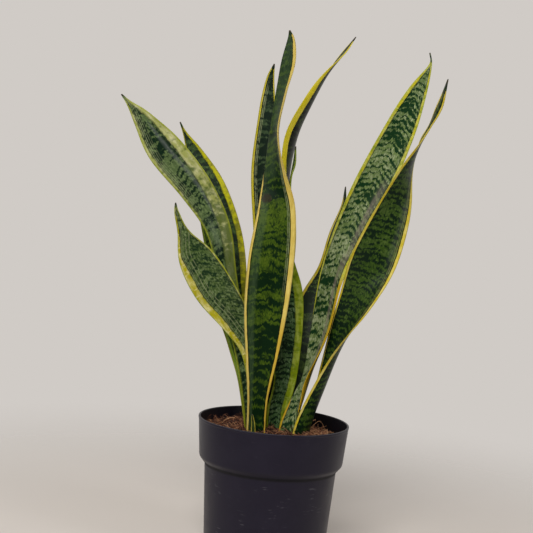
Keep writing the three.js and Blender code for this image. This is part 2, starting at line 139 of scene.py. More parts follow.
# Leaves: the cuts across each one, from the foot up, as in the frame. A cut has the place of the
# midrib, the width, the turn of the blade, and the bend from the midrib to a margin.
# Leaves: the cuts across each one, from the foot up, as in the frame. A cut has the place of the
# midrib, the width, the turn of the blade, and the bend from the midrib to a margin.
ROOT_END = 134
STRIPS = 18
ROWS_PER_CUT = 8
MARGIN_THICKNESS = 1
TIP_THICKNESS = 1.3
BLADE_THICKNESS = 2
FOOT_THICKNESS = 1.9
WIDE_BLADE = 30
FLAT = 0.02
MARGIN_WAVE = 1.1
WAVES = 5
WAVE_LEAN = 0.25
WAVE_GROWTH = (0.1, 0.35)  # where along a leaf its margins begin to wave, and wave in full
LEAVES = {
    "leaf_left_tall": [
        (-28, 9, ROOT_END, 17, 0, 60), (-29, 8, 165, 18, 0, 55), (-39, 5, 222, 18, 0, 45),
        (-54, 0, 282, 20, 5, 35), (-72, -8, 351, 26, 5, 28), (-89, -20, 413, 33, 5, 22),
        (-120, -34, 462, 44, 0, 20), (-160, -46, 504, 45, 0, 18), (-187, -54, 536, 26, 0, 14),
        (-206, -58, 555, 7, 0, 8), (-216, -60, 565, 1.6, 0, 5),
    ],
    "leaf_left_back": [
        (-22, 30, ROOT_END, 15, 0, 60), (-24, 30, 162, 16, 0, 55), (-33, 34, 202, 17, 0, 50),
        (-46, 42, 257, 21, 0, 40), (-60, 56, 330, 27, 0, 30), (-76, 72, 402, 33, 0, 22),
        (-102, 86, 461, 33, 0, 20), (-131, 95, 506, 23, 0, 15), (-149, 99, 535, 6, 0, 8),
        (-157, 100, 550, 1.6, 0, 5),
    ],
    "leaf_left_low": [
        (-21, -5, ROOT_END, 18, 0, 60), (-21, -6, 165, 20, 0, 55), (-24, -7, 191, 20, 0, 50),
        (-29, -9, 229, 22, 0, 42), (-38, -12, 267, 27, 0, 35), (-58, -19, 301, 42, 0, 26),
        (-86, -34, 338, 54, 0, 20), (-112, -48, 376, 45, 0, 18), (-129, -59, 406, 15, 0, 12),
        (-138, -66, 428, 6, 0, 8), (-140, -70, 440, 1.6, 0, 5),
    ],
    "leaf_left_hidden": [
        (-29, 19, ROOT_END, 15, 0, 55), (-30, 18, 161, 16, 0, 50), (-42, 19, 217, 17, 0, 45),
        (-57, 22, 267, 22, 0, 38), (-79, 28, 325, 30, 0, 28), (-95, 36, 385, 24, 0, 22),
        (-116, 44, 434, 9, 0, 12), (-131, 48, 449, 1.6, 0, 5),
    ],
    "leaf_centre_front": [
        (-22, -15, ROOT_END, 24, 0, 60), (-22, -17, 162, 27, 0, 55), (-23, -22, 204, 28, 0, 45),
        (-22, -29, 256, 41, 0, 32), (-22, -36, 317, 55, 0, 24), (-20, -40, 377, 58, -4, 20),
        (-17, -41, 437, 50, 15, 20), (-21, -41, 481, 42, 46, 22), (-25, -40, 520, 38, 66, 28),
        (-25, -39, 547, 34, 76, 30), (-22, -41, 583, 28, 60, 24), (-18, -44, 617, 23, 40, 16),
        (-17, -47, 646, 11, 25, 10), (-20, -49, 659, 1.8, 20, 5),
    ],
    "leaf_centre_back": [
        (-13, 42, ROOT_END, 16, 0, 55), (-13, 42, 164, 18, 0, 50), (-18, 44, 231, 23, 0, 40),
        (-22, 50, 307, 30, 0, 30), (-31, 58, 400, 29, 0, 25), (-39, 62, 493, 33, 0, 22),
        (-40, 62, 563, 24, 0, 18), (-40, 60, 609, 12, 0, 10), (-36, 58, 632, 1.6, 0, 5),
    ],
    "leaf_arching": [
        (-2, 28, ROOT_END, 15, 0, 55), (-2, 28, 167, 16, 0, 50), (-6, 30, 220, 20, 0, 42),
        (-8, 34, 299, 28, 0, 32), (-3, 38, 389, 32, 14, 28), (0, 50, 440, 34, 60, 26),
        (-6, 56, 480, 36, 98, 28), (-3, 62, 537, 36, 116, 28), (15, 66, 587, 30, 112, 24),
        (35, 72, 626, 20, 92, 20), (55, 77, 656, 12, 66, 14), (69, 80, 679, 1.6, 60, 5),
    ],
    "leaf_mid_back": [
        (3, 19, ROOT_END, 22, 0, 55), (3, 19, 160, 26, 0, 50), (4, 19, 186, 28, 0, 44),
        (10, 19, 226, 31, 0, 38), (7, 17, 284, 44, 0, 28), (3, 17, 336, 43, 0, 24),
        (-5, 20, 386, 26, 0, 22), (-5, 22, 437, 14, 0, 16), (-3, 24, 481, 7, 70, 12),
        (0, 25, 503, 5, 40, 8), (0, 26, 525, 1.6, 30, 5),
    ],
    "leaf_right_back": [
        (20, 30, ROOT_END, 17, 0, 55), (20, 30, 165, 20, 0, 50), (20, 34, 190, 22, 0, 44),
        (23, 42, 227, 28, 0, 36), (31, 52, 274, 38, 0, 28), (41, 64, 321, 41, 0, 24),
        (54, 76, 367, 23, 0, 22), (63, 88, 415, 16, 0, 16), (72, 96, 454, 7, 0, 8),
        (73, 100, 481, 1.6, 0, 5),
    ],
    "leaf_right_tall": [
        (19, 1, ROOT_END, 23, 22, 60), (20, 1, 164, 26, 31, 55), (33, 1, 205, 30, 68, 55),
        (41, 1, 235, 32, 83, 47), (53.5, 2, 295, 36, 47, 42), (62, 2, 367, 38, 33, 36),
        (81, 0, 434, 42, 14, 26), (106, -2, 497, 47, 0, 20), (130, -4, 559, 39, 0, 18),
        (147, -6, 605, 23, 0, 14), (159, -7, 637, 4, 0, 8), (157, -8, 652, 1.6, 0, 5),
    ],
    "leaf_right_front": [
        (41, -6, ROOT_END, 30, 122, 62), (42, -7, 166, 39, 125, 62), (61, -11, 229, 44, 97, 72),
        (78, -19, 290, 51, 70, 50), (95, -30, 343, 56, 42, 36), (108, -42, 396, 58, 3, 21),
        (123, -52, 451, 49, -18, 8), (135, -60, 498, 39, -58, -12), (147, -66, 533, 23, -80, -16),
        (156, -70, 553, 16, -92, -10), (162, -73, 570, 14, -112, 6), (167, -76, 587, 11, -114, 8),
        (172, -78, 612, 1.6, -110, 5),
    ],
    "sprout": [
        (-25, -34, ROOT_END, 7, 0, 50), (-25, -34, 152, 7, 0, 45), (-25, -34.5, 164, 6, 0, 40),
        (-26, -35, 175, 4.5, 0, 30), (-28, -35, 186, 1.6, 0, 5),
    ],
}


def srgb(tone):
    """A colour given as it is seen, 0 to 255 a channel, in the linear values that a shader takes."""
    seen = [channel / 255 for channel in tone]
    linear = [c / 12.92 if c <= 0.04045 else ((c + 0.055) / 1.055) ** 2.4 for c in seen]
    return (*linear, 1)


def smooth(low, high, at):
    """A soft step from 0 to 1 as at goes from low to high."""
    share = min(1, max(0, (at - low) / (high - low)))
    return share * share * (3 - 2 * share)


# --- Shader wiring ---


def operator(operation, swapped=False):
    """A method of a wire that adds a Math node. Swapped, the wire is its second value."""

    def apply(wire, *others):
        values = (*others, wire) if swapped else (wire, *others)
        return wire.finish.math(operation, *values)

    return apply


class Wire:
    """An output of a shader node. Sums and products of wires and numbers add Math nodes."""

    __add__ = operator("ADD")
    __radd__ = operator("ADD", swapped=True)
    __sub__ = operator("SUBTRACT")
    __rsub__ = operator("SUBTRACT", swapped=True)
    __mul__ = operator("MULTIPLY")
    __rmul__ = operator("MULTIPLY", swapped=True)
    __truediv__ = operator("DIVIDE")
    __pow__ = operator("POWER")
    __abs__ = operator("ABSOLUTE")

    def __init__(self, finish, socket):
        self.finish = finish
        self.socket = socket


class Finish:
    """A material, or the world, under construction: it adds nodes and hands out wires."""

    def __init__(self, name, world=False):
        owner = bpy.data.worlds if world else bpy.data.materials
        self.made = owner.new(name)
        self.made.use_nodes = True
        self.tree = self.made.node_tree
        self.tree.nodes.clear()

    def node(self, kind, settings=None, inputs=None, output=0):
        """A node of a kind: its settings first, then the values or wires of its sockets."""
        made = self.tree.nodes.new(kind)
        for key, value in (settings or {}).items():
            if key == "stops":
                self.set_stops(made.color_ramp.elements, value)
            else:
                setattr(made, key, value)
        for key, value in (inputs or {}).items():
            if isinstance(value, Wire):
                self.tree.links.new(value.socket, made.inputs[key])
            else:
                made.inputs[key].default_value = value
        return None if output is None else Wire(self, made.outputs[output])

    @staticmethod
    def set_stops(elements, stops):
        """Gives a ramp its stops, each a value and a colour as it is seen."""
        while len(elements) < len(stops):
            elements.new(1)
        for element, (position, tone) in zip(elements, stops):
            element.position = position
            element.color = srgb(tone)

    def math(self, operation, *values):
        return self.node("ShaderNodeMath", {"operation": operation}, dict(enumerate(values)))

    def mix(self, factor, first, second):
        """A colour between two colours, each of them a wire or a colour as it is seen."""
        first, second = [c if isinstance(c, Wire) else srgb(c) for c in (first, second)]
        settings = {"data_type": "RGBA", "clamp_factor": True}
        return self.node("ShaderNodeMix", settings, {0: factor, 6: first, 7: second}, output=2)

    def split(self, vector):
        """The three numbers of a vector."""
        first = self.node("ShaderNodeSeparateXYZ", {}, {0: vector})
        return [Wire(self, socket) for socket in first.socket.node.outputs]

    def parts(self, attribute):
        """The three numbers of an attribute of the piece."""
        settings = {"attribute_name": attribute}
        return self.split(self.node("ShaderNodeAttribute", settings, output="Vector"))

    def point(self, x, y, z):
        return self.node("ShaderNodeCombineXYZ", {}, {0: x, 1: y, 2: z})

    def place(self, stretch=(1, 1, 1)):
        """A place on the object, in millimetres, stretched along each axis."""
        coordinates = self.node("ShaderNodeTexCoord", output="Object")
        scale = Vector(stretch) / MM
        return self.node("ShaderNodeMapping", {}, {"Vector": coordinates, "Scale": scale})

    def noise(self, at, size, detail=2, roughness=0.5):
        """Soft noise from 0 to 1 with lumps of a size."""
        inputs = {"Vector": at, "Scale": 1 / size, "Detail": detail, "Roughness": roughness}
        return self.node("ShaderNodeTexNoise", {}, inputs)

    def step(self, low, high, value):
        """A soft step from 0 to 1 as a value goes from low to high."""
        settings = {"interpolation_type": "SMOOTHSTEP", "clamp": True}
        inputs = {"Value": value, "From Min": low, "From Max": high}
        return self.node("ShaderNodeMapRange", settings, inputs)

    def ramp(self, value, *stops):
        """A colour that follows a value through its stops."""
        return self.node("ShaderNodeValToRGB", {"stops": stops}, {0: value})

    def bump(self, height, depth, normal=None):
        """The normal over a relief of a depth in millimetres."""
        inputs = {"Height": height, "Distance": depth * MM, "Strength": 1}
        if normal:
            inputs["Normal"] = normal
        return self.node("ShaderNodeBump", {}, inputs)

    def done(self, **sockets):
        """Joins the surface and gives the material. Underscores stand for the spaces in names."""
        inputs = {key.replace("_", " "): value for key, value in sockets.items()}
        surface = self.node("ShaderNodeBsdfPrincipled", {}, inputs)
        self.node("ShaderNodeOutputMaterial", {}, {"Surface": surface}, output=None)
        return self.made


# --- Stage, light and camera ---


def placed(name, data):
    """A new object in the scene, with a mesh, a light or a camera."""
    made = bpy.data.objects.new(name, data)
    bpy.context.scene.collection.objects.link(made)
    return made


def meshed(name, bm):
    """A bmesh as an object in the scene."""
    mesh = bpy.data.meshes.new(name)
    bm.to_mesh(mesh)
    bm.free()
    return placed(name, mesh)


def make_camera():
    camera = placed("camera", bpy.data.cameras.new("camera"))
    bpy.context.scene.camera = camera
    down, roll = radians(LOOK_DOWN), radians(ROLL)
    forward = Vector((0, cos(down), -sin(down)))
    right = Vector((1, 0, 0))
    up = right.cross(forward)
    across = right * cos(roll) + up * sin(roll)
    above = up * cos(roll) - right * sin(roll)
    turned = Matrix((across, above, -forward)).transposed().to_4x4()
    camera.matrix_world = Matrix.Translation((AIM - forward * DISTANCE) * MM) @ turned
    camera.data.sensor_width = SENSOR
    camera.data.lens = FOCAL_PIXELS / FRAME_PIXELS * SENSOR
    bpy.context.scene.view_settings.view_transform = "Standard"


def stage_finish():
    """A pale matt floor that fades into the background far away."""
    finish = Finish("stage_floor")
    x, y, _ = finish.split(finish.place())
    far = finish.step(*FLOOR_FADE, (x * x + y * y) ** 0.5)
    finish.made.blend_method = "BLEND"
    return finish.done(Base_Color=srgb(FLOOR_TONE), Roughness=0.9, Alpha=1 - far)


def make_stage():
    bm = bmesh.new()
    radius = FLOOR_RADIUS * MM
    bmesh.ops.create_circle(bm, cap_ends=True, segments=FLOOR_SIDES, radius=radius)
    floor = meshed("stage_floor", bm)
    floor.location.z = -FLOOR_DROP * MM
    floor.data.materials.append(stage_finish())


def make_lights():
    for name, (place, size, power, colour) in LIGHTS.items():
        light = bpy.data.lights.new(name, "AREA")
        light.shape = "RECTANGLE"
        light.size, light.size_y = Vector(size) * MM
        light.energy = power
        light.color = colour
        lamp = placed(name, light)
        lamp.location = Vector(place) * MM
        ahead = LIT_POINT - Vector(place)
        lamp.rotation_euler = ahead.to_track_quat("-Z", "Y").to_euler()


def make_world():
    """A pale backdrop all round, which lights the plant from behind more than from the front."""
    finish = Finish("room", world=True)
    _, depth, _ = finish.split(finish.node("ShaderNodeTexCoord", output="Generated"))
    looked_at = finish.node("ShaderNodeLightPath", output="Is Camera Ray")
    bright = finish.math("MAXIMUM", finish.step(*ROOM_FADE, depth), looked_at)
    colour = finish.mix(bright, ROOM_TONE, WALL_TONE)
    surface = finish.node("ShaderNodeBackground", {}, {"Color": colour})
    finish.node("ShaderNodeOutputWorld", {}, {"Surface": surface}, output=None)
    bpy.context.scene.world = finish.made


# --- Pot ---


def finish_piece(name, bm, material, replaces=(), smooth_faces=True):
    """Turns a bmesh into a named piece that rides on the plant's body."""
    for face in bm.faces:
        face.smooth = smooth_faces
    piece = meshed(name, bm)
    piece.data.materials.append(material)
    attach(piece, BODY)
    if replaces:
        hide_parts(*replaces)
    return piece


def pot_finish():
    """Charcoal plastic: a faint grain, a little dust, pale scuffs, painted shade in the crease under the
    collar and painted shade on the inner wall.
    """
    finish = Finish("pot_charcoal")
    mix, step = finish.mix, finish.step
    here = finish.place()
    x, y, height = finish.split(here)
    dust = step(0.42, 0.75, finish.noise(here, 38, detail=4, roughness=0.6))
    drawn = finish.noise(finish.place((1, 1, 0.12)), 2.4, detail=3)
    scuff_place = finish.place((0.16, 0.16, 1))
    scuffs = step(0.58, 0.7, finish.noise(scuff_place, 2.2, detail=3, roughness=0.65))
    handled = 1 - step(STEP_FOOT - 12, STEP_FOOT, height) * 0.85
    patches = step(0.5, 0.62, finish.noise(here, 26, detail=1)) * handled
    colour = mix(dust * 0.6, (23, 19, 35), (30, 26, 41))
    colour = mix(scuffs * patches * 0.7, colour, (74, 72, 78))
    # painted shade: a near-black line in the crease under the collar, where shade falls
    crease_shade = 1 - step(0.5, 4, abs(height - STEP_FOOT - 1.5))
    colour = mix(crease_shade * 0.8, colour, (8, 7, 12))
    # painted shade: the inner wall of the collar darkened nearly to black, where shade falls
    lean = (RIM_RADIUS - COLLAR_FOOT_RADIUS) / COLLAR_HEIGHT
    middle = (height - STEP_TOP) * lean + COLLAR_FOOT_RADIUS - WALL / 2
    radius = (x * x + y * y) ** 0.5
    inside = step(-0.3, 0.3, middle - radius) * step(STEP_TOP, STEP_TOP + 2, height)
    colour = mix(inside * 0.75, colour, (6, 5, 9))
    edges = abs(height - POT_HEIGHT + 0.4)
    edge = (1 - step(0.2, 0.9, edges)) * step(0.35, 0.6, dust * 0.5 + drawn)
    colour = mix(edge * 0.4, colour, (58, 56, 62))
    grain = finish.noise(here, 0.5)
    rough = 0.36 + dust * 0.1 + drawn * 0.06 + crease_shade * 0.3
    relief = finish.bump(grain * 0.5 + drawn, 0.05)
    return finish.done(Base_Color=colour, Roughness=rough, Normal=relief, Specular_IOR_Level=POT_GLOSS)


def spun(profile, sides):
    """A closed solid of revolution from a profile of radius and height that ends on the axis."""
    bm = bmesh.new()
    ring = [bm.verts.new((radius * MM, 0, height * MM)) for radius, height in profile]
    edges = [bm.edges.new(pair) for pair in zip(ring, ring[1:])]
    turn = dict(axis=(0, 0, 1), cent=(0, 0, 0), angle=2 * pi, steps=sides)
    bmesh.ops.spin(bm, geom=ring + edges, use_merge=True, **turn)
    bmesh.ops.remove_doubles(bm, verts=bm.verts[:], dist=1e-6)
    bmesh.ops.recalc_face_normals(bm, faces=bm.faces[:])
    return bm


def round_corners(profile):
    """The outline through corners that are given by their radius, height and rounding."""
    points = [Vector(corner[:2]) for corner in profile]
    outline = points[:1]
    for before, point, after, corner in zip(points, points[1:], points[2:], profile[1:]):
        size = corner[2]
        start = point + (before - point).normalized() * size
        end = point + (after - point).normalized() * size
        for step in range(ARC_STEPS + 1 if size else 1):
            t = step / ARC_STEPS
            outline.append(start * (1 - t) ** 2 + point * 2 * t * (1 - t) + end * t * t)
    return outline + points[-1:]


def make_pot():
    profile = [
        (0, 0, 0),
        (BASE_RADIUS, 0, FOOT_ROUND),
        (BODY_TOP_RADIUS, STEP_FOOT, STEP_ROUND),
        (COLLAR_FOOT_RADIUS, STEP_TOP, COLLAR_ROUND),
        (RIM_RADIUS - LIP_OVERHANG, POT_HEIGHT - LIP_HEIGHT - EDGE, CREASE_ROUND),
        (RIM_RADIUS, POT_HEIGHT - LIP_HEIGHT, BRIM_ROUND),
        (RIM_RADIUS, POT_HEIGHT, LIP_ROUND),
        (RIM_RADIUS - LIP, POT_HEIGHT, LIP_ROUND),
        (RIM_RADIUS - LIP, POT_HEIGHT - LIP_HEIGHT, 0),
        (COLLAR_FOOT_RADIUS - WALL, STEP_TOP + EDGE, STEP_ROUND),
        (BODY_TOP_RADIUS - WALL, STEP_FOOT + EDGE, STEP_ROUND),
        (BASE_RADIUS - WALL, FLOOR, 0),
        (0, FLOOR, 0),
    ]
    bm = spun(round_corners(profile), POT_SIDES)
    pot = finish_piece("nursery_pot", bm, pot_finish(), ["pot"])
    drill_pot(pot)


def drill_pot(pot):
    """Cuts the drain holes through the pot's floor."""
    bm = bmesh.new()
    for hole in range(DRAIN_HOLES):
        angle = (hole + 0.5) / DRAIN_HOLES * 2 * pi
        place = Vector((cos(angle), sin(angle), 0)) * DRAIN_CIRCLE * MM
        drill = dict(radius1=DRAIN_RADIUS * MM, radius2=DRAIN_RADIUS * MM, depth=4 * FLOOR * MM)
        matrix = Matrix.Translation(place)
        bmesh.ops.create_cone(bm, cap_ends=True, segments=DRAIN_SIDES, matrix=matrix, **drill)
    drills = meshed("drills", bm)
    cut = pot.modifiers.new("drain_holes", "BOOLEAN")
    cut.operation = "DIFFERENCE"
    cut.object = drills
    bpy.context.view_layer.update()
    cut_pot = pot.evaluated_get(bpy.context.evaluated_depsgraph_get())
    drilled = bpy.data.meshes.new_from_object(cut_pot)
    pot.modifiers.remove(cut)
    pot.data = drilled
    bpy.data.objects.remove(drills)


# --- Soil ---


def swell(ahead, length, beside):
    """One row of crumbs after another in one direction, drifting as it goes in the other."""
    return sin(2 * pi * ahead / length + CRUMB_LEAN * sin(beside / CRUMB_DRIFT))


def wall_radius(height):
    """The inner radius of the collar at a height."""
    share = (height - STEP_TOP - EDGE) / (COLLAR_HEIGHT - LIP_HEIGHT - EDGE)
    return COLLAR_FOOT_RADIUS - WALL + share * (RIM_RADIUS - LIP - COLLAR_FOOT_RADIUS + WALL)


def soil_height(x, y):
    """Height of the soil, with its sunken right side and its lumps."""
    radius = hypot(x, y)
    to_right = max(0, x / max(radius, 1))
    dip = SOIL_DIP * to_right * smooth(*DIP_RADII, radius)
    crumbs = swell(x, CRUMB_LENGTH, y) * swell(y, CRUMB_DEPTH, x)
    fade = 1 - smooth(CRUMBS_END - CRUMBS_FADE, CRUMBS_END, radius)
    here = Vector((x, y, SEED))
    grit = sum(height * noise.noise(here / width) for width, height in GRIT_SIZES)
    return SOIL_TOP + CRUMB_HEIGHT * crumbs * fade + grit - dip


def painted_light_to_right(finish):
    """Painted light: how much lighter the soil is painted, more and more so towards the right side."""
    to_right, _, _ = finish.split(finish.place())
    return finish.step(*PAINTED_LIGHT_SIDE, to_right)


def soil_finish():
    """Damp brown peat between the fibres."""
    finish = Finish("peat")
    here = finish.place()
    # the peat is painted lighter towards the right, a painted light
    lumps = finish.noise(here, 3.5, detail=5, roughness=0.65) + painted_light_to_right(finish) * 0.12
    bits = finish.noise(here, 1.1)
    colour = finish.ramp(lumps, (0.3, (26, 15, 10)), (0.5, (60, 34, 22)), (0.68, (96, 60, 38)))
    relief = finish.bump(lumps + bits * 0.5, 1.2)
    return finish.done(Base_Color=colour, Roughness=0.95, Normal=relief)


def fibre_finish():
    """Coir: reddish brown, each kind of strand a little lighter or darker, and painted lighter towards
    the right, a painted light.
    """
    finish = Finish("coir")
    tint, _, _ = finish.parts("tint")
    shade = finish.noise(finish.place(), 9)
    colour = finish.ramp(
        tint * 0.75 + shade * 0.35 + painted_light_to_right(finish) * 0.3,
        (0.12, (36, 19, 12)),
        (0.4, (82, 44, 28)),
        (0.7, (128, 76, 48)),
        (0.95, (180, 134, 94)),
    )
    relief = finish.bump(finish.noise(finish.place(), 0.6), 0.15)
    return finish.done(Base_Color=colour, Roughness=0.8, Normal=relief)


def make_soil():
    inset = WALL + GAP
    rings = ceil(CRUMBS_END / SOIL_RING_STEP)
    profile = [
        *[(ring * SOIL_RING_STEP, SOIL_TOP) for ring in range(rings)],
        (wall_radius(SOIL_TOP) - GAP, SOIL_TOP),
        (COLLAR_FOOT_RADIUS - inset, STEP_TOP + 2 * EDGE),
        (BODY_TOP_RADIUS - inset, STEP_FOOT + EDGE + GAP),
        (BASE_RADIUS - inset, FLOOR + GAP),
        (0, FLOOR + GAP),
    ]
    bm = spun(profile, SOIL_SIDES)
    for vert in bm.verts:
        x, y, z = vert.co / MM
        if z < SOIL_TOP - EDGE:
            continue
        height = soil_height(x, y)
        reach = min(1, (wall_radius(height) - GAP) / max(1, hypot(x, y)))
        vert.co = Vector((x * reach, y * reach, height)) * MM
    finish_piece("soil_heap", bm, soil_finish(), ["soil"])


def first_ring(bm, sides, radius):
    """The points and the edges of the first ring of a tube that runs along +X."""
    ring = bmesh.ops.create_circle(bm, segments=sides, radius=radius)["verts"]
    upright = Matrix.Rotation(pi / 2, 3, "Y")
    bmesh.ops.rotate(bm, verts=ring, cent=(0, 0, 0), matrix=upright)
    return ring, list({edge for vert in ring for edge in vert.link_edges})


def next_ring(bm, edges, move):
    """The points and the edges of the next ring, a move further than the last one."""
    made = bmesh.ops.extrude_edge_only(bm, edges=edges)["geom"]
    ring = [part for part in made if isinstance(part, bmesh.types.BMVert)]
    bmesh.ops.translate(bm, verts=ring, vec=move)
    return ring, [part for part in made if isinstance(part, bmesh.types.BMEdge)]


def close_tubes(bm, sides):
    """Closes both ends of every tube."""
    bmesh.ops.holes_fill(bm, edges=bm.edges[:], sides=sides)
    bmesh.ops.recalc_face_normals(bm, faces=bm.faces[:])


def fibre_kind(draw):
    """One curly strand, drawn as a three-sided tube that wanders along +X."""
    bm = bmesh.new()
    _, edges = first_ring(bm, FIBRE_SIDES, draw.uniform(*FIBRE_RADIUS) * MM)
    length = draw.uniform(*FIBRE_LENGTH) * MM
    turn = draw.uniform(-0.45, 0.45)
    centre = Vector()
    heading = Matrix.Rotation(draw.uniform(-0.5, 0.5), 3, "Y")
    for _ in range(FIBRE_STEPS):
        bend = Matrix.Rotation(turn + draw.uniform(-0.3, 0.3), 3, "Z")
        dip = Matrix.Rotation(draw.uniform(-0.3, 0.3), 3, "Y")
        heading = heading @ bend @ dip
        move = heading @ Vector((length / FIBRE_STEPS, 0, 0))
        ring, edges = next_ring(bm, edges, move)
        centre += move
        bmesh.ops.rotate(bm, verts=ring, cent=centre, matrix=bend)
    close_tubes(bm, FIBRE_SIDES)
    bmesh.ops.translate(bm, verts=bm.verts[:], vec=-centre / 2)
    return bm


def crumb_kind(draw):
    """One small lump of peat or bark."""
    bm = bmesh.new()
    bmesh.ops.create_icosphere(bm, subdivisions=1, radius=draw.uniform(0.7, 1.7) * MM)
    squash = Vector((draw.uniform(0.8, 1.6), draw.uniform(0.7, 1.2), draw.uniform(0.4, 0.9)))
    bmesh.ops.scale(bm, verts=bm.verts[:], vec=squash)
    for vert in bm.verts:
        vert.co *= draw.uniform(0.75, 1.25)
    return bm


def chip_kind(draw):
    """A flat sliver of bark with split ends."""
    bm = bmesh.new()
    bmesh.ops.create_cube(bm, size=MM)
    bmesh.ops.subdivide_edges(bm, edges=bm.edges[:], cuts=1, use_grid_fill=True)
    size = Vector((draw.uniform(6, 13), draw.uniform(2, 4.5), draw.uniform(0.8, 1.8)))
    bmesh.ops.scale(bm, verts=bm.verts[:], vec=size)
    for vert in bm.verts:
        vert.co += Vector([draw.uniform(-0.5, 0.5) for _ in range(3)]) * MM
    return bm


def dye(bm, tint):
    """Gives every point of a bmesh the same tint."""
    layer = bm.verts.layers.float_vector.new("tint")
    for vert in bm.verts:
        vert[layer] = (tint, 0, 0)


def stamped(kinds, tints, draw):
    """Turns small bmeshes into meshes to be laid about, each with a tint of its own."""
    made = []
    for bm, tint in zip(kinds, tints):
        dye(bm, tint)
        mesh = bpy.data.meshes.new("stamp")
        bm.to_mesh(mesh)
        bm.free()
        made.append(mesh)
    draw.shuffle(made)
    return made


def strewn(stamps, draw, count, lift, tilt, reach):
    """Many copies of the stamps laid about on the soil."""
    bm = bmesh.new()
    bm.verts.layers.float_vector.new("tint")
    for copy in range(count):
        radius = reach * sqrt(draw.random())
        angle = draw.uniform(0, 2 * pi)
        x, y = radius * cos(angle), radius * sin(angle)
        height = soil_height(x, y) + draw.uniform(*lift)
        spin = Matrix.Rotation(draw.uniform(0, 2 * pi), 4, "Z")
        lean = Matrix.Rotation(radians(draw.gauss(0, tilt)), 4, "Y")
        place = Matrix.Translation(Vector((x, y, height)) * MM) @ spin @ lean
        stamp = stamps[copy % len(stamps)]
        stamp.transform(place)
        bm.from_mesh(stamp)
        stamp.transform(place.inverted())
    keep_in_pot(bm)
    return bm


def keep_in_pot(bm):
    """Pulls whatever pokes through the wall back inside it."""
    for vert in bm.verts:
        x, y, z = vert.co / MM
        limit = wall_radius(max(z, STEP_TOP)) - GAP
        radius = hypot(x, y)
        if radius > limit:
            vert.co.x *= limit / radius
            vert.co.y *= limit / radius


def make_twigs(material):
    """The few thin twigs that stand up out of the litter."""
    bm = bmesh.new()
    for points in TWIGS:
        line = [Vector(point) * MM for point in points]
        ring, edges = first_ring(bm, TWIG_SIDES, TWIG_RADIUS * MM)
        bmesh.ops.translate(bm, verts=ring, vec=line[0])
        for step in range(TWIG_STEPS):
            move = along(line, (step + 1) / TWIG_STEPS) - along(line, step / TWIG_STEPS)
            _, edges = next_ring(bm, edges, move)
    close_tubes(bm, TWIG_SIDES)
    dye(bm, TWIG_TINT)
    keep_in_pot(bm)
    finish_piece("stray_twigs", bm, material)


# What lies on the soil: how many forms each kind of litter has, their darkest and lightest tint,
# how many copies lie about, how high and how tilted they lie, and how far out.
LITTER = {
    "coir_strands": (fibre_kind, 28, (0, 1), 2600, (-0.6, 1.6), 9, 89),
    "peat_crumbs": (crumb_kind, 8, (0, 0.7), 1500, (-0.5, 1.2), 30, 90),
    "bark_slivers": (chip_kind, 8, (0.6, 1), 60, (0.2, 1.4), 12, 86),
}


def make_litter():
    """The coir strands, crumbs and bark slivers that cover the soil."""
    draw = random.Random(SEED)
    coir = fibre_finish()
    for name, (kind, forms, tint_range, *spread) in LITTER.items():
        tints = [draw.uniform(*tint_range) for _ in range(forms)]
        stamps = stamped([kind(draw) for _ in tints], tints, draw)
        bm = strewn(stamps, draw, *spread)
        finish_piece(name, bm, coir, smooth_faces=kind is fibre_kind)
    make_twigs(coir)


def rootstock_finish():
    """Ochre rhizome skin, ringed and a little dirty."""
    finish = Finish("rhizome")
    here = finish.place()
    dirt = finish.step(0.45, 0.62, finish.noise(here, 5, detail=4))
    colour = finish.mix(dirt, (196, 140, 62), (110, 70, 40))
    relief = finish.bump(finish.noise(here, 1.6, detail=3), 0.4)
    return finish.done(Base_Color=colour, Roughness=0.75, Normal=relief)


# --- Leaves ---


def along(points, u):
    """A point of the smooth curve through the points, u from 0 to 1."""
    last = len(points) - 1
    at = min(max(u, 0), 1) * last
    i = min(int(at), last - 1)
    t = at - i
    second, third = points[i], points[i + 1]
    first = points[i - 1] if i else 2 * second - third
    fourth = points[i + 2] if i + 2 <= last else 2 * third - second
    start, end = (third - first) / 2, (fourth - second) / 2
    cubic = 2 * second - 2 * third + start + end
    square = 3 * third - 3 * second - 2 * start - end
    return second + start * t + square * t**2 + cubic * t**3


def between(stops, u):
    """The numbers at u in a list of stops, each a share of the length with its numbers."""
    if u <= stops[0][0]:
        return stops[0][1:]
    for before, after in zip(stops, stops[1:]):
        if u <= after[0]:
            share = smooth(before[0], after[0], u)
            return [a + (b - a) * share for a, b in zip(before[1:], after[1:])]
    return stops[-1][1:]


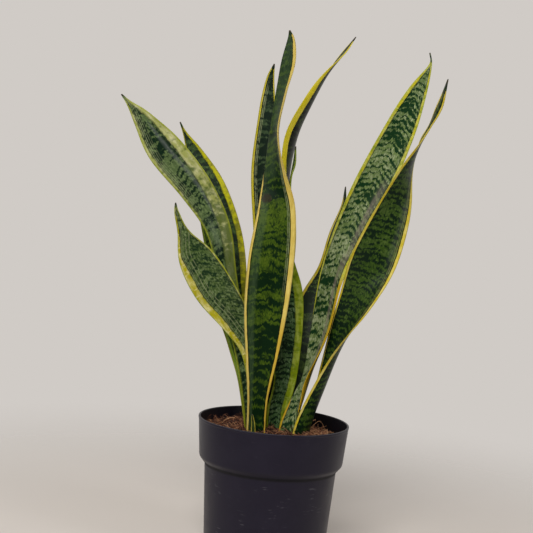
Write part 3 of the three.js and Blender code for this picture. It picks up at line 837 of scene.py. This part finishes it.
class Blade:
    """The shape of a leaf: where each place on its two skins lies."""

    STEP = 0.0001

    def __init__(self, cuts):
        self.midrib = [Vector(cut[:3]) for cut in cuts]
        self.form = [Vector(cut[3:]) for cut in cuts]

    def cut(self, u):
        """Midrib, the two directions of the blade, its width and its bend at u."""
        ahead, behind = min(1, u + self.STEP), max(0, u - self.STEP)
        tangent = (along(self.midrib, ahead) - along(self.midrib, behind)).normalized()
        width, turn, channel = along(self.form, u)
        turn = radians(turn)
        right = Vector((1, 0, 0))
        right = (right - tangent * tangent.x).normalized()
        front = right.cross(tangent)
        across = right * cos(turn) + front * sin(turn)
        facing = front * cos(turn) - right * sin(turn)
        return along(self.midrib, u), across, facing, width, radians(channel)

    def point(self, cut, u, v, side):
        """A point of one skin: v is -1 at the left margin and 1 at the right one."""
        centre, across, facing, width, channel = cut
        channel = FLAT if abs(channel) < FLAT else channel
        stout = min(1, width / WIDE_BLADE)
        middle = TIP_THICKNESS + BLADE_THICKNESS * stout + FOOT_THICKNESS * (1 - u) ** 4
        radius = width / (2 * channel)
        bend = v * channel
        wave = abs(v) ** 3 * sin(2 * pi * (WAVES * u + WAVE_LEAN * v))
        fade = smooth(*WAVE_GROWTH, u) * stout
        half = (MARGIN_THICKNESS + (middle - MARGIN_THICKNESS) * (1 - v * v)) / 2
        skin = facing * cos(bend) - across * sin(bend)
        place = centre + across * radius * sin(bend)
        place += facing * radius * (1 - cos(bend))
        return place + skin * (side * half + MARGIN_WAVE * wave * fade)


DRY_TONE = (44, 36, 30)  # a withered spot
TIP_TONE = (62, 56, 40)  # the dry awl at the end of a leaf
GILT_TONE = (196, 156, 26)  # the golden parts of a border
DRY_TIP = (0.975, 0.99)  # where the dry awl begins, as shares of a leaf's length
PATCH_FADE = 0.03  # share of a leaf's length over which a patch fades
PATCH_CORE = 0.35  # share of a patch's half width in which it is full

# How a leaf looks where LOOKS says nothing else. Colours are as they are seen, and places along a
# leaf are shares of its length.
PLAIN_LOOK = dict(
    dark=(24, 42, 26),  # the blade's ground
    light=(62, 84, 34),  # its bands
    pale=(92, 108, 58),  # the streaks in them
    border=(188, 166, 34),
    cream=(206, 190, 92),  # pale blotches and bars in the borders
    patch=(116, 124, 34),  # green blotches in the borders
    rim=(140, 132, 44),  # their outermost line
    sheen_tone=(90, 100, 84),  # the tone of the painted sheen, a painted reflection on parts of a blade
    stripe=(136, 144, 104),  # the lines inside the borders
    borders=[(0, 3, 3), (0.95, 3, 3), (0.985, -1, -1)],  # place, left width, right width
    bands=(9, 7),  # length of a band at the foot and at the tip
    regular=0.4,  # how even the bands are
    blur=0.3,  # how far their edges blur
    jag=0.8,  # how ragged they are
    chevron=0.25,  # how steeply they rise towards the midrib
    fine=0.6,  # how strong the small marks between them are
    lines=0.3,  # how strong the thin dark lines are
    mottle=0.3,  # how speckled the blade is
    blocks=26,  # size of its darker and lighter stretches
    cloud=0.5,  # how strong those are
    tones=[(0, 0)],  # place, and how much lighter the blade is there
    soft=0.25,  # how far the inner edges of the borders blur
    rim_width=1.4,
    patches=(0.35, 0.1),  # how blotched the borders are at the foot and at the tip
    bars=0,  # how clear the pale bars in them are
    dashes=(0, 0),  # how much dark dashes break them at the foot and at the tip
    stripes=(0, 0),  # how clear the lines inside the left and the right border are
    stripe_ends=(0.2, 0.9),
    veins=[],  # further lines inside the left border: how far in, and how clear
    gloss=0.14,
    painted_sheen=[],  # where the painted sheen lies: foot end, tip end, left side, right side, strength
    spots=[],  # where the leaf is withered, likewise
    gilt=[],  # where a border is golden, likewise
)
LOOKS = {
    "leaf_left_tall": dict(
        dark=(18, 40, 24), light=(90, 110, 66), pale=(126, 146, 92), border=(162, 167, 92),
        cream=(210, 208, 158), patch=(66, 88, 34), rim=(140, 148, 16), sheen_tone=(116, 124, 118),
        borders=[
            (0, 2, 4), (0.3, 2, 7), (0.45, 2.4, 14), (0.6, 3.4, 15), (0.7, 4, 11), (0.8, 3.4, 6),
            (0.88, 2, 2.8), (0.94, 0.8, 1), (0.965, -1, -1),
        ],
        regular=0.45, blur=0.4, chevron=0.4, fine=0.9, mottle=0.9, blocks=14, cloud=0.9,
        tones=[
            (0, -0.06), (0.36, -0.02), (0.5, 0.04), (0.6, 0.02), (0.66, 0.08), (0.72, -0.1), (0.78, 0),
            (0.83, -0.1), (0.87, 0.06), (0.9, -0.06), (0.94, 0.12),
        ],
        soft=1.5, rim_width=3.2, patches=(3.2, -0.6), dashes=(2.2, -1.6), stripes=(1.3, 0.1),
        stripe_ends=(0.52, 0.9), veins=[(6.5, 0.6), (9, 0.4)],
        painted_sheen=[(0.46, 0.8, 0.06, 0.34, 0.6), (0.44, 0.54, -0.7, 0, 0.3)],
    ),
    "leaf_left_back": dict(
        dark=(16, 34, 18), light=(52, 74, 30), border=(182, 178, 14), cream=(160, 156, 40),
        patch=(100, 102, 36),
        borders=[
            (0, 2, 5), (0.45, 2, 8), (0.62, 1.5, 7.5), (0.75, 1.2, 5), (0.86, 1, 2.4), (0.93, 0.5, 1),
            (0.965, -1, -1),
        ],
        mottle=0.5, soft=1, patches=(1.9, 0.1), dashes=(0.5, -0.4), gloss=0.05,
    ),
    "leaf_left_low": dict(
        dark=(24, 50, 24), light=(84, 106, 52), pale=(134, 150, 106), border=(172, 162, 16),
        cream=(224, 216, 150), patch=(168, 164, 14), rim=(128, 146, 30),
        borders=[
            (0, 2, 1.5), (0.3, 4, 1.2), (0.42, 6, 1.2), (0.54, 8.6, 1.4), (0.66, 8.4, 1.6),
            (0.73, 3.4, 1.6), (0.82, 2, 1.2), (0.94, 1.2, 0.8), (0.975, -1, -1),
        ],
        bands=(8, 6), regular=0.45, blur=0.8, jag=0.9, chevron=0.7, fine=1, lines=0.5, mottle=1.3,
        blocks=9, cloud=0.9, tones=[(0, -0.02), (0.5, 0.06), (0.7, 0), (1, -0.04)], soft=1,
        patches=(0.75, 0.6), bars=0.7, stripes=(0.6, 0.15), veins=[(8, 1), (12.5, 0.8)],
    ),
    "leaf_left_hidden": dict(
        dark=(30, 46, 22), light=(78, 104, 30), border=(104, 128, 32), cream=(128, 148, 56),
        borders=[(0, 5, 3), (0.6, 4, 3), (0.9, 1.5, 1.5), (0.97, -1, -1)], tones=[(0, 0.1), (1, 0)],
    ),
    "leaf_centre_front": dict(
        dark=(12, 34, 14), light=(58, 80, 18), pale=(84, 102, 28), border=(204, 178, 84),
        cream=(222, 200, 108), patch=(186, 154, 66), rim=(176, 156, 84), sheen_tone=(72, 92, 62),
        borders=[
            (0, 2, 1), (0.12, 2.4, 1.6), (0.22, 2.8, 3.2), (0.31, 3.2, 5.4), (0.36, 3.2, 6.4),
            (0.52, 2, 7), (0.56, -0.6, 6.5), (0.7, -0.6, 7), (0.88, -0.6, 4), (0.95, -0.6, 2),
            (0.985, -1, -1),
        ],
        bands=(12, 8), regular=0.75, blur=0.25, jag=1, fine=0.9, lines=0.9, cloud=0.4,
        tones=[
            (0, -0.14), (0.14, -0.12), (0.155, 0.02), (0.175, -0.12), (0.19, 0), (0.21, -0.12),
            (0.25, -0.1), (0.275, -0.16), (0.295, 0.16), (0.315, -0.06), (0.33, 0.12), (0.345, -0.12),
            (0.37, 0.02), (0.39, 0.1), (0.42, 0.08), (0.46, 0.2), (0.485, 0.16), (0.5, -0.1),
            (0.56, -0.08), (0.62, 0), (1, -0.1),
        ],
        patches=(0.15, 0.05), stripes=(0.1, 1), stripe_ends=(0.3, 0.62), gloss=0.08,
        painted_sheen=[(0.02, 0.52, -0.9, -0.42, 0.5), (0.52, 0.66, -1.2, 0.2, 0.4), (0.66, 1, -1.7, 1.7, 0.5)],
        spots=[(0.474, 0.508, -0.98, -0.2, 1)],
        gilt=[(0.48, 0.52, 0.7, 1.7, 0.5), (-0.1, 0.3, 0, 3, 0.7)],
    ),
    "leaf_centre_back": dict(
        dark=(18, 34, 22), light=(54, 72, 46), pale=(88, 104, 70), border=(186, 174, 22),
        cream=(196, 180, 74),
        borders=[(0, 3, 2), (0.5, 3.4, 2), (0.85, 2.4, 1.8), (0.95, 1.4, 1.2), (0.985, -1, -1)],
        tones=[(0, 0), (1, -0.06)], stripes=(1.2, 0), stripe_ends=(0.2, 0.8),
    ),
    "leaf_arching": dict(
        dark=(24, 30, 22), light=(44, 58, 34), border=(224, 206, 24), cream=(232, 214, 72),
        patch=(158, 156, 16), rim=(190, 176, 40), sheen_tone=(80, 74, 76),
        borders=[
            (0, 3, 4), (0.4, 3, 7), (0.62, 3, 7.5), (0.7, 3, 9), (0.75, 3, 8.6), (0.79, 3, 4.8),
            (0.85, 1.5, 2.5), (0.96, 1, 1), (0.985, -1, -1),
        ],
        patches=(1.4, 0), bars=0.3, painted_sheen=[(0.3, 0.9, -1.9, -0.3, 0.6)],
    ),
    "leaf_mid_back": dict(
        dark=(14, 38, 22), light=(70, 100, 56), pale=(124, 146, 108), border=(130, 148, 16),
        cream=(172, 184, 80), patch=(74, 102, 16), rim=(126, 142, 16),
        borders=[
            (0, 2, 6), (0.3, 2, 9), (0.5, 2, 11), (0.64, 2, 7), (0.8, 1, 2), (0.97, 0.6, 0.8),
            (0.985, -1, -1),
        ],
        bands=(7, 6), regular=0.7, jag=0.9, fine=0.8, mottle=0.9,
        tones=[(0, -0.02), (0.3, 0.04), (1, -0.04)], soft=1.2, patches=(0.9, 0.6), bars=0.5,
        dashes=(-0.4, -0.4),
    ),
    "leaf_right_back": dict(
        dark=(18, 32, 16), light=(48, 66, 26), border=(176, 156, 30),
        borders=[(0, 3, 3), (0.6, 3.4, 3), (0.9, 1.5, 1.5), (0.97, -1, -1)], tones=[(0, 0), (1, -0.06)],
    ),
    "leaf_right_tall": dict(
        dark=(20, 52, 24), light=(106, 126, 72), pale=(176, 184, 146), border=(186, 176, 34),
        cream=(200, 200, 104), patch=(112, 132, 26), rim=(156, 164, 40), sheen_tone=(120, 110, 98),
        borders=[
            (0, 2, -0.6), (0.14, 2, -0.6), (0.18, -0.6, 6), (0.36, -0.6, 7), (0.42, 1.4, 6),
            (0.6, 4, 4.5), (0.8, 4, 3.4), (0.9, 2, 1.7), (0.95, -1, -1),
        ],
        bands=(11, 6.5), regular=0.85, blur=0.35, jag=1, chevron=0.8, mottle=0.9, cloud=0.6,
        tones=[
            (0, -0.05), (0.18, 0.06), (0.24, 0.1), (0.28, 0.16), (0.29, -0.08), (0.3, 0.18), (0.32, 0.18),
            (0.33, -0.12), (0.343, 0.2), (0.357, -0.12), (0.37, 0.22), (0.38, 0.2), (0.392, -0.12),
            (0.408, -0.08), (0.42, 0.2), (0.43, 0.16), (0.443, -0.12), (0.456, 0.12), (0.468, -0.08),
            (0.486, 0.14), (0.53, -0.03), (0.56, 0.03), (0.6, -0.04), (0.66, 0.06), (0.69, -0.04),
            (0.76, -0.06), (0.8, 0.08), (0.86, 0.02), (1, -0.06),
        ],
        soft=0.4, patches=(0.9, 0.75), bars=0.6,
        painted_sheen=[(0.14, 0.5, 0.1, 0.5, 0.8), (0.44, 0.64, 0.3, 0.8, 0.7)],
        gilt=[(-0.1, 0.46, 0, 3, 1), (-0.1, 0.22, -3, 0, 1)],
    ),
    "leaf_right_front": dict(
        dark=(12, 32, 16), light=(52, 76, 22), pale=(84, 104, 50), border=(200, 178, 32),
        cream=(222, 206, 116), patch=(168, 152, 38), rim=(168, 150, 50), sheen_tone=(84, 88, 84),
        stripe=(172, 172, 108),
        borders=[
            (0, 3, 2.4), (0.3, 2.4, 3.4), (0.5, 3, 4.6), (0.66, 3.4, 3.6), (0.8, 2.4, 2.6),
            (0.93, 1.6, 2.4), (0.975, -1, -1),
        ],
        bands=(8.5, 6), regular=0.75, jag=1, fine=0.8, lines=0.4, mottle=1, cloud=0.6,
        tones=[(0, -0.16), (0.15, -0.1), (0.25, -0.04), (0.4, 0.04), (1, -0.06)], patches=(0.25, 0.2),
        bars=0.2, stripes=(0, 0.4), painted_sheen=[(0.4, 0.6, 0.4, 0.8, 0.35), (0.66, 0.85, -0.2, 1.4, 0.45)],
    ),
    "sprout": dict(
        dark=(26, 44, 26), light=(52, 72, 34), border=(184, 168, 34),
        borders=[(0, 0.9, 0.9), (0.9, 0.6, 0.6), (1, 0.2, 0.2)],
    ),
}


def leaf_finish(name, look):
    """The skin of a leaf: cross bands with combed edges, and pale borders along the margins."""
    finish = Finish("skin_" + name)
    mix, step = finish.mix, finish.step
    seed = sum(map(ord, name)) * 0.37
    across, length, _ = finish.parts("blade")
    left, right, edge = finish.parts("rims")
    phase, tone, share = finish.parts("bands")
    painted_sheen, spot, gilt = finish.parts("marks")

    def streaky(cross, lengthwise, detail=2, roughness=0.5, shift=0):
        """Noise from about -1 to 1, in patches of a width and a length in millimetres."""
        at = finish.point(across / cross, length / lengthwise, seed + shift)
        return (finish.noise(at, 1, detail, roughness) - 0.5) * 3

    fibre = streaky(1.1, 14, roughness=0.6)
    tongues = streaky(3, 12, shift=3)
    drift = streaky(20, 30, shift=5)
    comb = fibre * 0.26 + tongues * 0.3
    wave = phase + abs(across) * (look["chevron"] / look["bands"][0])
    wave += comb * look["jag"] + drift * 0.5

    def banded(rate, width, shift):
        """Noise from about -1 to 1 that runs across the blade in bands."""
        at = finish.point(across / width, wave * rate, seed + shift)
        return (finish.noise(at, 1, 1) - 0.5) * 3

    cloud = streaky(look["blocks"], look["blocks"], shift=7)
    mottle = streaky(2.6, 3.6, detail=3, shift=11)
    level = finish.math("SINE", wave * (2 * pi)) * (look["regular"] * 0.7)
    level += banded(1, 26, 13) * (1.6 - look["regular"]) + banded(3, 10, 17) * look["fine"]
    level += cloud * look["cloud"] + mottle * look["mottle"] + tone * 4
    dotted = step(-0.5, 0.3, streaky(2.2, 6, shift=21))
    lines = (1 - step(0.06, 0.26, abs(banded(1.6, 26, 19)))) * dotted
    lightness = step(-look["blur"], look["blur"], level) * (1 - lines * look["lines"])
    body = mix(lightness, look["dark"], look["light"])
    streaks = step(-0.1, 0.9, fibre * 0.7 + mottle + cloud * 0.4 + tone * 2) * lightness
    body = mix(streaks * 0.7, body, look["pale"])
    shade = step(-0.2, 0.8, streaky(7, 60, shift=23) + fibre * 0.3)
    body = mix(shade * 0.25, body, [c * 0.5 for c in look["dark"]])
    # painted sheen: a greyer, duller tone where a blade would reflect light
    sheen_amount = painted_sheen * (0.75 + fibre * 0.5 + mottle * 0.25)
    body = mix(sheen_amount, body, look["sheen_tone"])

    stripes = 0
    for inside, strength in zip((left, right), look["stripes"]):
        for distance, share_of in ((1.9, 1), (4, 0.7)):
            line = 1 - step(0.2, 1, abs(inside - distance + drift * 0.3))
            stripes = line * (strength * share_of) + stripes
    for distance, strength in look["veins"]:
        line = 1 - step(0.2, 0.9, abs(left - distance + drift * 0.8))
        stripes = line * strength + stripes
    broken = step(-0.7, 0.1, streaky(6, 5, shift=31))
    foot_end, tip_end = look["stripe_ends"]
    broken *= step(foot_end, foot_end + 0.1, share)
    broken *= 1 - step(tip_end, tip_end + 0.1, share)
    body = mix(stripes * broken * 0.8, body, look["stripe"])

    soft = look["soft"]
    wobble = streaky(20, 8, shift=41) * (0.25 + soft * 0.3) + (mottle + fibre) * (soft * 0.6)
    inside = finish.math("MINIMUM", left, right) + wobble
    border = 1 - step(-soft, soft, inside)
    seam = step(2.2, 0.3, inside) * (1 - border)
    body = mix(seam * 0.6, body, [c * 0.6 for c in look["dark"]])
    amount = graded(look["patches"], share)
    blotch = step(-0.1, 0.7, streaky(8, 6, detail=3, shift=47) + amount - 0.7)
    cream = step(-0.4, 0.7, streaky(6, 16, detail=3, shift=53))
    fringe = mix(cream, look["border"], look["cream"])
    fringe = mix(blotch * 0.8, fringe, look["patch"])
    bars = step(0.1, 0.6, streaky(14, 3.4, shift=43)) * look["bars"]
    fringe = mix(bars, fringe, look["cream"])
    amount = graded(look["dashes"], share)
    dash = step(0.15, 0.55, streaky(6, 1.7, shift=59) + fibre * 0.2 + amount - 1)
    fringe = mix(dash * 0.75, fringe, look["dark"])
    rim = 1 - step(0.5, look["rim_width"], edge + mottle * 0.4)
    fringe = mix(rim * 0.7, fringe, look["rim"])
    fringe = mix(gilt * (0.85 + cream * 0.2), fringe, GILT_TONE)
    colour = mix(border, body, fringe)
    blemish = step(0.25, 0.6, spot + mottle * 0.25 + fibre * 0.15)
    colour = mix(blemish * 0.85, colour, DRY_TONE)
    colour = mix(step(*DRY_TIP, share), colour, TIP_TONE)

    rough = 0.36 + fibre * 0.04 + border * 0.06 + painted_sheen * 0.08
    ribs = finish.bump(fibre * 0.5 + mottle * 0.2, 0.05)
    relief = finish.bump(border, 0.15, ribs)
    gloss = look["gloss"]
    return finish.done(Base_Color=colour, Roughness=rough, Normal=relief, Specular_IOR_Level=gloss)


def graded(ends, share):
    """What has one value at the foot and one at the tip, at a share of the way between them."""
    foot, tip = ends
    return foot + (tip - foot) * share


def patch_at(patches, u, v):
    """How strong a place lies in one of the patches, which fade out towards their edges."""
    strength = 0
    for foot, tip, left, right, most in patches:
        soft = min(PATCH_FADE, (tip - foot) / 2)
        lengthwise = smooth(foot, foot + soft, u) * (1 - smooth(tip - soft, tip, u))
        middle, reach = (left + right) / 2, (right - left) / 2
        crosswise = 1 - smooth(PATCH_CORE, 1, abs(v - middle) / reach)
        strength = max(strength, most * lengthwise * crosswise)
    return strength


def make_leaf(node):
    look = {**PLAIN_LOOK, **LOOKS[node]}
    blade = Blade(LEAVES[node])
    rows = ROWS_PER_CUT * (len(LEAVES[node]) - 1)
    bm = bmesh.new()
    new_layer = bm.verts.layers.float_vector.new
    layers = [new_layer(name) for name in ("blade", "rims", "bands", "marks")]
    bmesh.ops.create_grid(bm, x_segments=STRIPS, y_segments=rows, size=1)
    lifted = bmesh.ops.extrude_face_region(bm, geom=bm.faces[:])["geom"]
    front = {part for part in lifted if isinstance(part, bmesh.types.BMVert)}
    levels = {}
    for vert in bm.verts:
        levels.setdefault(round((vert.co.y + 1) / 2 * rows), []).append(vert)
    length = phase = 0
    before = None
    for level, verts in sorted(levels.items()):
        u = level / rows
        cut = blade.cut(u)
        centre, width = cut[0], cut[3]
        if before is not None:
            stride = (centre - before).length
            length += stride
            phase += stride / graded(look["bands"], u)
        before = centre
        border_left, border_right = between(look["borders"], u)
        [tone] = between(look["tones"], u)
        for vert in verts:
            v = vert.co.x
            to_left, to_right = (1 + v) * width / 2, (1 - v) * width / 2
            values = [
                (v * width / 2, length, 0),
                (to_left - border_left, to_right - border_right, min(to_left, to_right)),
                (phase, tone, u),
                [patch_at(look[mark], u, v) for mark in ("painted_sheen", "spots", "gilt")],
            ]
            for layer, value in zip(layers, values):
                vert[layer] = value
            side = 1 if vert in front else -1
            vert.co = blade.point(cut, u, v, side) * MM
    bmesh.ops.recalc_face_normals(bm, faces=bm.faces[:])
    name = node.replace("leaf_", "")
    piece = finish_piece("blade_" + name, bm, leaf_finish(name, look), [node])
    rounded = piece.modifiers.new("rounded", "SUBSURF")
    rounded.levels = rounded.render_levels = 1


make_camera()
make_stage()
make_lights()
make_world()
make_pot()
make_soil()
make_litter()
for node in LEAVES:
    make_leaf(node)
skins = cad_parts["rootstock"].data.materials
skins.clear()
skins.append(rootstock_finish())
